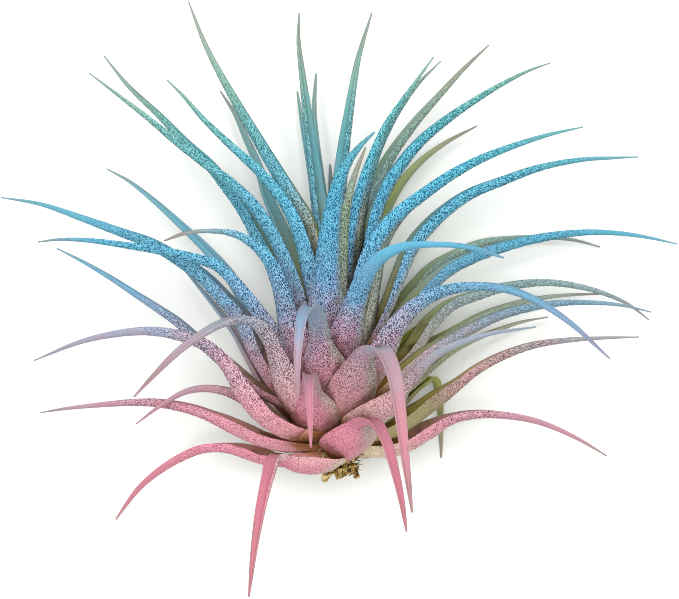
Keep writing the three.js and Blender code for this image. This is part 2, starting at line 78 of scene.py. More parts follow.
# Table top
# A matt white painted board, far wider than the plant. Light comes back from it
# between the leaves, so the shadows on it stay pale.
BOARD_SIDE = 4.0  # metres
BOARD_WHITES = ((0.3, "#f1f2ef"), (0.7, "#f4f5f2"))
MOTTLES = 0.014  # of the board's paint, in a millimetre


def linear(hex_colour, alpha=1.0):
    """A colour written as sRGB hex, as the linear values that a shader takes."""
    parts = [int(hex_colour[i:i + 2], 16) / 255 for i in (1, 3, 5)]
    parts = [c / 12.92 if c <= 0.04045 else ((c + 0.055) / 1.055) ** 2.4 for c in parts]
    return (*parts, alpha)


def add_node(tree, kind, values=None, links=None, stops=(), **settings):
    """A shader node with its settings, the values of its sockets and what feeds them.

    A Mix of colours takes sockets 6 and 7 and gives 2, and one of numbers takes 2 and 3 and gives 0."""
    node = tree.nodes.new("ShaderNode" + kind)
    for name, value in settings.items():
        setattr(node, name, value)
    for socket, value in (values or {}).items():
        node.inputs[socket].default_value = value
    for socket, source in (links or {}).items():
        tree.links.new(source, node.inputs[socket])
    for at, (position, colour) in enumerate(stops):
        row = node.color_ramp.elements
        stop = row[at] if at < 2 else row.new(position)
        stop.position, stop.color = position, linear(colour)
    return node


def blank_material(name):
    """A new material with an empty tree, and its output node."""
    material = bpy.data.materials.new(name)
    material.use_nodes = True
    material.node_tree.nodes.clear()
    return material, material.node_tree, material.node_tree.nodes.new("ShaderNodeOutputMaterial")


def add_piece(name, mesh, material):
    """An object at the origin that shows the mesh."""
    mesh.name = name
    mesh.materials.clear()
    mesh.materials.append(material)
    piece = bpy.data.objects.new(name, mesh)
    scene.collection.objects.link(piece)
    return piece


board_paint, tree, output = blank_material("matt white board paint")
place = add_node(tree, "TexCoord")
mottle = add_node(tree, "TexNoise", {"Scale": MOTTLES / MM, "Detail": 3},
                  {"Vector": place.outputs["Object"]})
shade = add_node(tree, "ValToRGB", links={"Fac": mottle.outputs["Fac"]}, stops=BOARD_WHITES)
paint = add_node(tree, "BsdfPrincipled", {"Roughness": 0.9, "Specular IOR Level": 0.1},
                 {"Base Color": shade.outputs["Color"]})
tree.links.new(paint.outputs["BSDF"], output.inputs["Surface"])

board = bmesh.new()
bmesh.ops.create_grid(board, x_segments=4, y_segments=4, size=BOARD_SIDE / 2)
board_mesh = bpy.data.meshes.new("table_top")
board.to_mesh(board_mesh)
board.free()
table_top = add_piece("table_top", board_mesh, board_paint)


# Stem
# A short tapering axis of firm tissue, hidden by the sheaths that clasp it.
# Each leaf leaves a low ridge round it where it grew. Its fibres give it a dull streaked face.
STEM_FOOT_RADIUS = 3.6
STEM_TIP_RADIUS = 1.3
STEM_RIDGES = 9
STEM_RIDGE = 0.16
STEM_STEPS = 54
STEM_TURNS = 48
STEM_SLIMMER = 0.12  # so that the finer stem stays inside its solid
STEM_CLOSE = 0.92  # share of it past which its tip closes
FOOT_ROUND = 0.07  # share of it that closes round at the foot
FOOT_NARROW = 0.75  # how far the foot closes
FOOT_DARK = (-29.6, -28.6)  # millimetres up the rosette at which dead foot turns to tissue
STEM_FIBRES = 1.4  # in a millimetre
FIRM_TISSUE = ((0.3, "#6d5c33"), (0.65, "#c9bd8c"))
DRY_ROOT = ((0.36, "#1c1006"), (0.44, "#5c3e18"), (0.53, "#a5853c"), (0.66, "#dccb92"))


def seen(point):
    """A point of the plant, in millimetres, from its place on the grid and its height."""
    across, down, height = point
    near = (EYE_HEIGHT - height) / (EYE_HEIGHT - SPAN_HEIGHT) * GRID_STEP
    return np.array([(across - GRID_ACROSS) * near, (GRID_DOWN - down) * near, height]) + ROSETTE_SHIFT


STEM_FOOT = seen((342, 463, 20))
STEM_TIP = seen((337, 350, 24))

stem_skin, tree, output = blank_material("pale stem tissue over a dead foot")
place = add_node(tree, "TexCoord")
fibres = add_node(tree, "TexNoise", {"Scale": STEM_FIBRES / MM, "Detail": 3},
                  {"Vector": place.outputs["Object"]})
firm = add_node(tree, "ValToRGB", links={"Fac": fibres.outputs["Fac"]}, stops=FIRM_TISSUE)
dead = add_node(tree, "ValToRGB", links={"Fac": fibres.outputs["Fac"]}, stops=DRY_ROOT)
up = add_node(tree, "SeparateXYZ", links={0: place.outputs["Object"]})
alive = add_node(tree, "MapRange", {"From Min": FOOT_DARK[0] * MM, "From Max": FOOT_DARK[1] * MM},
                 {"Value": up.outputs["Y"]})
shade = add_node(tree, "Mix", data_type="RGBA",
                 links={0: alive.outputs[0], 6: dead.outputs["Color"], 7: firm.outputs["Color"]})
tissue = add_node(tree, "BsdfPrincipled", {"Roughness": 0.75}, {"Base Color": shade.outputs[2]})
tree.links.new(tissue.outputs["BSDF"], output.inputs["Surface"])

stem_length = float(np.linalg.norm(STEM_TIP - STEM_FOOT))
stem = bmesh.new()
start = stem.verts.new((0, 0, 0))
profile = [start]
for step in range(STEM_STEPS + 1):
    share = step / STEM_STEPS
    taper = STEM_FOOT_RADIUS + (STEM_TIP_RADIUS - STEM_FOOT_RADIUS) * min(share / STEM_CLOSE, 1)
    ridge = STEM_RIDGE * abs(math.sin(math.pi * share * STEM_RIDGES)) ** 0.5
    close = math.sqrt(max(1 - max(share - STEM_CLOSE, 0) / (1 - STEM_CLOSE), 0))
    sunk = max(1 - share / FOOT_ROUND, 0)
    close = close * math.sqrt(1 - FOOT_NARROW * sunk * sunk)
    radius = (taper - STEM_SLIMMER - STEM_RIDGE + ridge) * close
    profile.append(stem.verts.new((max(radius, 0) * MM, 0, share * stem_length * MM)))
for low, high in zip(profile, profile[1:]):
    stem.edges.new((low, high))
bmesh.ops.spin(stem, geom=stem.verts[:] + stem.edges[:], cent=(0, 0, 0), axis=(0, 0, 1),
               angle=math.tau, steps=STEM_TURNS, use_merge=True)
bmesh.ops.remove_doubles(stem, verts=stem.verts, dist=1e-6)
bmesh.ops.recalc_face_normals(stem, faces=stem.faces)
turn = Vector((0, 0, 1)).rotation_difference(Vector(STEM_TIP - STEM_FOOT))
bmesh.ops.rotate(stem, verts=stem.verts, cent=(0, 0, 0), matrix=turn.to_matrix())
bmesh.ops.translate(stem, verts=stem.verts, vec=Vector(STEM_FOOT) * MM)
stem_mesh = bpy.data.meshes.new("stem")
stem.to_mesh(stem_mesh)
stem.free()
stem_mesh.shade_smooth()
stem_piece = add_piece("plant_stem", stem_mesh, stem_skin)
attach(stem_piece, "root")
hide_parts("stem")


# Leaf form
# Every leaf is one piece: a broad thin sheath that clasps the stem and a thick channelled
# blade that narrows to a point. Small shield-shaped scales cover its outer face.
BLADE_WIDTH = 4.4
TIP_WIDTH = 0.3
TIP_SWELL = 0.35  # the tip's extra width a few millimetres back from its end
TIP_SWELL_RUN = 3.0
TIP_TAPER = 0.085  # width gained for each millimetre from the tip
SHEATH_END = 0.16
BLADE_START = 0.4
SHEATH_DEPTH = 0.27  # of its width
BLADE_DEPTH = 0.5  # of its width
LEAST_DEPTH = 0.26
TIP_POINT = 0.35  # share of its width that the last ring at the tip keeps
FOLD = (0.15, 0.7)  # width over radius of bend at which the channel closes
PINCH = (0.5, 1.3)  # and at which the leaf narrows
FOLD_PINCH = 0.25
SHEATH_SPREAD = math.radians(58)
BLADE_SPREAD = math.radians(88)
FOOT_SHARE = 0.62  # of its width, at the sheath's foot
FLARE_END = 0.128  # share of its length at which it is full width
SHEATH_WALL = 0.95
BLADE_WALL = 1.0
WALL_SHARE = 0.62  # the most of its depth that a wall takes
CLOSED = 0.9  # share of its depth that a closed channel fills
RIM_WALL = 0.26  # a margin's thickness
OUTER_CELLS = 20  # rows of scales across the outer face
# Where the inner face's points lie, from one margin to the other
INNER_PLACES = (0.94, 0.7, 0.42, 0.14, -0.14, -0.42, -0.7, -0.94)
STATIONS = 141  # steps along a leaf, one scale each
CURVE_STEPS = 30
RING = OUTER_CELLS + 1 + len(INNER_PLACES)


def smooth_share(value, start, end):
    """How far a value has come from start to end, easing in and out, from 0 to 1."""
    share = np.clip((value - start) / (end - start), 0, 1)
    return share * share * (3 - 2 * share)


def mix(one, other, share):
    return one + (other - one) * share


def midline(points):
    """Even places down a leaf, the ways it heads there and the run to each."""
    knots = [seen(point) for point in points]
    knots = [2 * knots[0] - knots[1], *knots, 2 * knots[-1] - knots[-2]]
    fine = []
    for before, near, far, after in zip(knots, knots[1:], knots[2:], knots[3:]):
        gaps = [math.sqrt(np.linalg.norm(b - a)) for a, b in ((before, near), (near, far), (far, after))]
        leave = (near - before) / gaps[0] - (far - before) / (gaps[0] + gaps[1]) + (far - near) / gaps[1]
        reach = (far - near) / gaps[1] - (after - near) / (gaps[1] + gaps[2]) + (after - far) / gaps[2]
        leave, reach = leave * gaps[1], reach * gaps[1]
        for step in range(CURVE_STEPS):
            t = step / CURVE_STEPS
            fine.append(near + leave * t + (3 * (far - near) - 2 * leave - reach) * t * t
                        + (2 * (near - far) + leave + reach) * t ** 3)
    fine = np.array([*fine, knots[-2]])
    run = np.concatenate([[0], np.cumsum(np.linalg.norm(np.diff(fine, axis=0), axis=1))])
    return fine, run


def stepped_tube(sides, steps):
    """A capped upright tube, 1 in radius and 1 high, cut across into steps."""
    tube = bmesh.new()
    bmesh.ops.create_cone(tube, cap_ends=True, segments=sides, radius1=1, radius2=1, depth=1)
    upright = [edge for edge in tube.edges if abs(edge.verts[0].co.z - edge.verts[1].co.z) > 0.5]
    bmesh.ops.subdivide_edges(tube, edges=upright, cuts=steps - 1, use_grid_fill=True)
    return tube


def leaf_tube():
    """A tube whose faces will be one leaf's scales, with each scale's middle raised as a vertex.

    Returns its mesh, the step and place of each vertex round it, and the corners of each scale."""
    tube = stepped_tube(RING, STATIONS - 1)
    tube.verts.ensure_lookup_table()
    tube.verts.index_update()
    steps = [round((v.co.z + 0.5) * (STATIONS - 1)) for v in tube.verts]
    places = [round(math.atan2(v.co.y, v.co.x) / math.tau * RING) % RING for v in tube.verts]
    scales = [face for face in tube.faces
              if len(face.verts) == 4 and max(places[v.index] for v in face.verts) <= OUTER_CELLS
              and not {0, OUTER_CELLS} <= {places[v.index] for v in face.verts}]
    middles = bmesh.ops.poke(tube, faces=scales)["verts"]
    tube.verts.index_update()
    corners = [[edge.other_vert(v).index for edge in v.link_edges] for v in middles]
    mesh = bpy.data.meshes.new("leaf_tube")
    tube.to_mesh(mesh)
    tube.free()
    mesh.shade_smooth()
    return mesh, np.array(steps), np.array(places), np.array(corners)


tube_mesh, tube_steps, tube_places, tube_corners = leaf_tube()
tube_outer = tube_places <= OUTER_CELLS
outer_places = [2 * k / OUTER_CELLS - 1 for k in range(OUTER_CELLS + 1)]
tube_sides = np.array([*outer_places, *INNER_PLACES])[tube_places]

# Which face corners lie past the seam, where the skin's map runs on by a whole turn
loop_corner = np.empty(len(tube_mesh.loops), dtype=np.int32)
tube_mesh.loops.foreach_get("vertex_index", loop_corner)
tube_wrapped = np.zeros(len(tube_mesh.loops))
for face in tube_mesh.polygons:
    round_face = [tube_places[k] for k in face.vertices if k < len(tube_places)]
    if len(face.vertices) <= 4 and {0, RING - 1} <= set(round_face):
        for loop in face.loop_indices:
            tube_wrapped[loop] = tube_places[loop_corner[loop]] == 0


def solid_tree(names):
    """The solids of the construction, as a tree of faces that finds places and what rays meet."""
    corners, faces = [], []
    for name in names:
        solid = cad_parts[name].data
        first = len(corners)
        faces += [[first + k for k in face.vertices] for face in solid.polygons]
        corners += [vertex.co.copy() for vertex in solid.vertices]
    return BVHTree.FromPolygons(corners, faces)


plant_tree = solid_tree(list(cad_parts))
SNAP = (0.45 * MM, 0.9 * MM)  # a leaf point this far off its solid was cut away there
SHELTER_REACH = 9 * MM
SHELTER_LIFT = 0.6 * MM
SHELTER_STEP = 4  # shelter is tested on one station in four
SHELTER_WAYS = 6  # ways round a point in which it is tested
SHELTER_SPREAD = 0.9  # how far they lean out from the point's own way up
SHELTER_SIDE = 1 / 8  # what one way counts, so that straight up counts for two


def within_solid(places, name):
    """Draws leaf points that lie off their solid back onto it, where a neighbour has cut it."""
    solid = solid_tree([name])
    for at, place in enumerate(places):
        spot, _, _, gap = solid.find_nearest(Vector(place))
        if gap > SNAP[0]:
            places[at] = mix(place, np.array(spot), float(smooth_share(gap, *SNAP)))


def shelter_of(places, outward):
    """How far other leaves hide each point from the light, from 0 to 1."""
    hidden = np.zeros(len(places))
    for at, (place, up) in enumerate(zip(places, outward)):
        up = Vector(up)
        side = up.orthogonal().normalized()
        start = Vector(place) + up * SHELTER_LIFT
        for spin in range(SHELTER_WAYS):
            way = (up + Quaternion(up, spin * math.tau / SHELTER_WAYS) @ side * SHELTER_SPREAD).normalized()
            if plant_tree.ray_cast(start, way, SHELTER_REACH)[0]:
                hidden[at] += SHELTER_SIDE
        if plant_tree.ray_cast(start, up, SHELTER_REACH)[0]:
            hidden[at] += 2 * SHELTER_SIDE
    return hidden


# Leaf skin
# Firm grey-green tissue under pale dry scales, dusted with matt dye: pink at the root,
# lilac, then sky blue that thins out to the leaf's own green. Dye lies on the scales, and
# the pits between them stay dark. Inner faces are smoother, and yellower where dye missed.
DYE_LOW = -55  # millimetres up the rosette
DYE_HIGH = 55
DYE_WANDER = 7.0  # how far its borders wander
DYE_WANDERS = 0.17  # in a millimetre
DYE_SAG = 0.16  # how steeply they sink to both sides of the root
PAINTED_SHADE_SHIFT = 6.0  # how far the dye's borders rise where leaves hide each other, so that hidden places are painted redder as shade
LIGHT_DYE = ((0.0, "#dc929f"), (0.26, "#e49aa9"), (0.33, "#e79fb2"), (0.37, "#e2a9bd"), (0.41, "#dab4ce"),
             (0.45, "#c4c2dc"), (0.49, "#a4c2e6"), (0.52, "#8cc4e8"), (0.59, "#7ccbe9"), (0.66, "#72cae6"),
             (0.74, "#76cada"), (0.82, "#8accca"), (0.9, "#a2cabc"), (1.0, "#b0c4b8"))
DARK_DYE = ((0.0, "#8c2c4a"), (0.26, "#8c2c4a"), (0.33, "#6e1838"), (0.37, "#4c0e26"), (0.41, "#38102c"),
            (0.45, "#1c1434"), (0.49, "#08183a"), (0.52, "#00244a"), (0.59, "#004468"), (0.66, "#00506e"),
            (0.74, "#005668"), (0.82, "#16605e"), (0.9, "#406c5c"), (1.0, "#5c6c62"))
# Painted shade: the dark colours that places hidden by other leaves are mixed towards, brown and dark red
# low on the rosette, dark blue-green higher up
PAINTED_SHADE_COLOURS = ((0.0, "#7a4a22"), (0.26, "#744020"), (0.31, "#541a22"), (0.37, "#4a1822"), (0.45, "#2a1c2c"),
            (0.52, "#142a34"), (1.0, "#10342f"))
LIGHT_LEAF = ((0.0, "#e0d2ac"), (0.15, "#dbd6c2"), (0.3, "#ccd0c0"), (0.6, "#b4bfae"), (1.0, "#b3aba2"))
DARK_LEAF = ((0.0, "#bca070"), (0.15, "#8c8060"), (0.3, "#565838"), (0.6, "#566044"), (1.0, "#837e70"))
INNER_LEAF = ((0.0, "#b08f3c"), (0.15, "#aea652"), (0.35, "#97a06a"), (0.55, "#8c9678"), (0.85, "#a39a92"),
              (1.0, "#a09088"))
FRESH_LEAF = ((0.0, "#82762c"), (0.3, "#8c843c"), (0.55, "#b4c23e"), (1.0, "#a6aa72"))
TIP_BROWN = "#928680"
# A leaf foot's brown, laid only where other leaves hide it: partly bare dead tissue, partly painted shade
FOOT_BROWN_AND_SHADE = "#a5703c"

# The real scales are some 0.4 mm long, and the pits between them finer than a picture of this
# size shows, so a pit is drawn 0.12 mm wide and 0.34 mm long, as coarse as it needs to show.
PITS_ACROSS = 8.2  # in a millimetre
PITS_ALONG = 2.9
PIT_SIZES = 0.5  # how much they differ in size
PIT_FLECKS = 0.45  # how ragged they are
FLECKS = 1.6  # to each pit
COAT_FILL = 0.23  # how much smaller the first coat made them
PIT_DEPTH = 0.06
PIT_RIM = {"From Min": 0.83, "From Max": 0.95}  # cover over which dark pit turns to pale scale
FIRST_COAT = {"From Min": 0.24, "From Max": 0.42, "To Min": 1, "To Max": 0}  # by the dye's level
SMOOTH_FLECKS = {"From Min": 0.3, "From Max": 0.7, "To Min": 0.44, "To Max": 0.76}
INNER_FLECKS = {"From Min": 0.35, "From Max": 0.65, "To Min": 0.25, "To Max": 0.7}
TIP_DRIED = {"From Min": 0.8, "From Max": 1, "To Min": 0, "To Max": 0.8}  # by share of length
DRIED_UNDER_DYE = {"From Min": 0, "From Max": 1, "To Min": 1, "To Max": 0.2}
FOOT_BARE = {"From Min": 0.07, "From Max": 0.15, "To Min": 0.85, "To Max": 0}  # by share of length
# By shelter: where the bare foot turns brown, in part as painted shade
FOOT_SHADE_RANGE = {"From Min": 0.1, "From Max": 0.4}
# By shelter: how strongly hidden places are painted dark as shade
PAINTED_SHADE_RANGE = {"From Min": 0.6, "From Max": 1, "To Min": 0, "To Max": 0.6}

leaf_skin, tree, output = blank_material("dyed scurfy leaf skin")
along, dye, fill, inside, fresh, tint, shelter = (
    add_node(tree, "Attribute", attribute_name=name).outputs["Fac"]
    for name in ("along", "dye", "fill", "inside", "fresh", "tint", "shelter"))

# Where the dye stands between its lowest and highest colour
place = add_node(tree, "TexCoord").outputs["Object"]
spot = add_node(tree, "SeparateXYZ", links={0: place}).outputs
wander = add_node(tree, "TexNoise", {"Scale": DYE_WANDERS / MM, "Detail": 4, "Roughness": 0.6},
                  {"Vector": place}).outputs["Fac"]
aside = add_node(tree, "Math", links={0: spot["X"]}, operation="ABSOLUTE").outputs[0]
level = spot["Y"]
# Where leaves hide each other the level drops, so those places are painted redder as shade
for part, share in ((aside, DYE_SAG), (wander, 2 * DYE_WANDER * MM), (tint, MM),
                    (shelter, -PAINTED_SHADE_SHIFT * MM)):
    level = add_node(tree, "Math", {1: share}, {0: part, 2: level}, operation="MULTIPLY_ADD").outputs[0]
level = add_node(tree, "MapRange",
                 {"From Min": (DYE_LOW + DYE_WANDER) * MM, "From Max": (DYE_HIGH + DYE_WANDER) * MM},
                 {"Value": level}).outputs["Result"]
light_dye, dark_dye, painted_shade_colour = (
    add_node(tree, "ValToRGB", links={"Fac": level}, stops=stops).outputs["Color"]
    for stops in (LIGHT_DYE, DARK_DYE, PAINTED_SHADE_COLOURS))
light_leaf, dark_leaf, inner_leaf, fresh_leaf = (
    add_node(tree, "ValToRGB", links={"Fac": along}, stops=stops).outputs["Color"]
    for stops in (LIGHT_LEAF, DARK_LEAF, INNER_LEAF, FRESH_LEAF))

# Scurf: short dark pits in rows between the pale scales, fewer and smaller at the root,
# where the first coat filled them
skin = add_node(tree, "UVMap", uv_map="skin").outputs["UV"]
drawn_out = add_node(tree, "Mapping", {"Scale": (PITS_ACROSS, PITS_ALONG, 1)},
                     {"Vector": skin}).outputs["Vector"]
pits = add_node(tree, "TexVoronoi", {"Scale": 1.0, "Randomness": 1.0}, {"Vector": drawn_out},
                voronoi_dimensions="2D").outputs
flecks = add_node(tree, "TexNoise", {"Scale": FLECKS, "Detail": 2.0, "Roughness": 0.6},
                  {"Vector": drawn_out}, noise_dimensions="2D").outputs["Fac"]
size = add_node(tree, "SeparateColor", links={0: pits["Color"]}).outputs["Red"]
first_coat = add_node(tree, "MapRange", FIRST_COAT, {"Value": level}).outputs["Result"]
cover = pits["Distance"]
for part, share in ((size, PIT_SIZES), (flecks, PIT_FLECKS), (first_coat, COAT_FILL)):
    cover = add_node(tree, "Math", {1: share}, {0: part, 2: cover}, operation="MULTIPLY_ADD").outputs[0]
speckle = add_node(tree, "MapRange", PIT_RIM, {"Value": cover},
                   interpolation_type="SMOOTHSTEP").outputs["Result"]
satin = add_node(tree, "MapRange", SMOOTH_FLECKS, {"Value": flecks}).outputs["Result"]
inner_speckle = add_node(tree, "MapRange", INNER_FLECKS, {"Value": flecks}).outputs["Result"]
lit = add_node(tree, "Mix", links={0: fill, 2: speckle, 3: satin}, data_type="FLOAT").outputs[0]
inner_lit = add_node(tree, "Mix", links={0: fill, 2: inner_speckle, 3: satin}, data_type="FLOAT").outputs[0]

# Own green, dye and pits come together on the outer and on the inner face
light = add_node(tree, "Mix", links={0: fresh, 6: light_leaf, 7: fresh_leaf}, data_type="RGBA").outputs[2]
light = add_node(tree, "Mix", links={0: dye, 6: light, 7: light_dye}, data_type="RGBA").outputs[2]
dark = add_node(tree, "Mix", links={0: dye, 6: dark_leaf, 7: dark_dye}, data_type="RGBA").outputs[2]
outer_face = add_node(tree, "Mix", links={0: lit, 6: dark, 7: light}, data_type="RGBA").outputs[2]
own = add_node(tree, "Mix", links={0: fresh, 6: inner_leaf, 7: fresh_leaf}, data_type="RGBA").outputs[2]
dyed = add_node(tree, "Mix", links={0: inner_lit, 6: dark_dye, 7: light_dye}, data_type="RGBA").outputs[2]
inner_face = add_node(tree, "Mix", links={0: dye, 6: own, 7: dyed}, data_type="RGBA").outputs[2]
colour = add_node(tree, "Mix", links={0: inside, 6: outer_face, 7: inner_face}, data_type="RGBA").outputs[2]

# The tip dries brown. The foot is bare and brown where other leaves hide it, partly dead tissue and partly
# painted shade, and the places they hide most are painted dark as shade
tip = add_node(tree, "MapRange", TIP_DRIED, {"Value": along},
               interpolation_type="SMOOTHSTEP").outputs["Result"]
under_dye = add_node(tree, "MapRange", DRIED_UNDER_DYE, {"Value": dye}).outputs["Result"]
dried = add_node(tree, "Math", links={0: tip, 1: under_dye}, operation="MULTIPLY").outputs[0]
colour = add_node(tree, "Mix", {7: linear(TIP_BROWN)}, {0: dried, 6: colour}, data_type="RGBA").outputs[2]
base = add_node(tree, "MapRange", FOOT_BARE, {"Value": along},
                interpolation_type="SMOOTHSTEP").outputs["Result"]
# Painted shade in part: the bare foot turns brown only where other leaves hide it
foot_shade = add_node(tree, "MapRange", FOOT_SHADE_RANGE, {"Value": shelter}).outputs["Result"]
foot = add_node(tree, "Math", links={0: base, 1: foot_shade}, operation="MULTIPLY").outputs[0]
colour = add_node(tree, "Mix", {7: linear(FOOT_BROWN_AND_SHADE)}, {0: foot, 6: colour}, data_type="RGBA").outputs[2]
# Painted shade: where other leaves hide a point most, its colour is mixed towards a dark one
deep = add_node(tree, "MapRange", PAINTED_SHADE_RANGE, {"Value": shelter}).outputs["Result"]
colour = add_node(tree, "Mix", links={0: deep, 6: colour, 7: painted_shade_colour}, data_type="RGBA").outputs[2]
relief = add_node(tree, "Bump", {"Strength": 0.5, "Distance": PIT_DEPTH * MM}, {"Height": cover})
leaf_tissue = add_node(tree, "BsdfPrincipled", {"Roughness": 0.8, "Specular IOR Level": 0.1},
                       {"Base Color": colour, "Normal": relief.outputs["Normal"]})
tree.links.new(leaf_tissue.outputs["BSDF"], output.inputs["Surface"])


# A leaf on its midline
# The tube is bent along the midline, widened into sheath and blade, kept on its solid and
# covered with scales. Its points then get the values that the skin's colours are read from.
SPRAY = np.array([-0.45, -0.15, 0.87])  # the side that the dye came from
SCALE_HEIGHT = 0.11 * MM
SCALE_LEAN = 0.12 * MM
SCALE_SHIFT = 0.42  # of a cell, how far a scale's corners stray
SCALE_FULL = 3.2  # width of blade from which scales are full size
SCALE_RISE = (0.3, 1.7)  # least and greatest height of a scale against the usual
SCALE_FLAT = 0.6  # how much of their height they lose where the leaf is smooth
SMOOTH_RUN = 0.15  # share of a leaf over which that comes on, either way
SPRAY_FILLS = (0.55, 0.95)  # how squarely a face meets the spray where that fills its pits
OUTER_CATCH = (-0.15, 0.4)  # and where it takes the dye, outside
INNER_CATCH = (-0.6, 0.1)  # and inside
SHEATH_BACK = 0.35  # share of the dye that reached a sheath's far side
BLADE_BACK = 0.7
INNER_BACK = 0.75
BLADE_FREE = (0.3, 0.6)  # share of its length over which a leaf comes free of the rest
SHADED = (0.5, 1.0)  # shelter over which other leaves keep the spray off
SHADE_OUTER = 0.1  # share of the dye that they keep off its outer face
SHADE_INNER = (0.3, 0.7)  # and off its inner one, with a throat of 0 and of 1
THROAT_RUN = (0.25, 0.6)  # share of its length over which the throat opens into the blade
TINT_RUN = (0.25, 0.55)
SPRAY_FILL = 0.15  # how far the spray filled the pits that faced it
FADE = 0.1  # share of a leaf over which bare skin takes the dye, either way
WEAR = 0.2
SKIN_SHIFT = 7.3  # millimetres by which each leaf's pits are shifted against the last one's
leaf_numbers = count(1)


def unit(rows):
    """Each row at length 1."""
    return rows / np.linalg.norm(rows, axis=-1, keepdims=True)


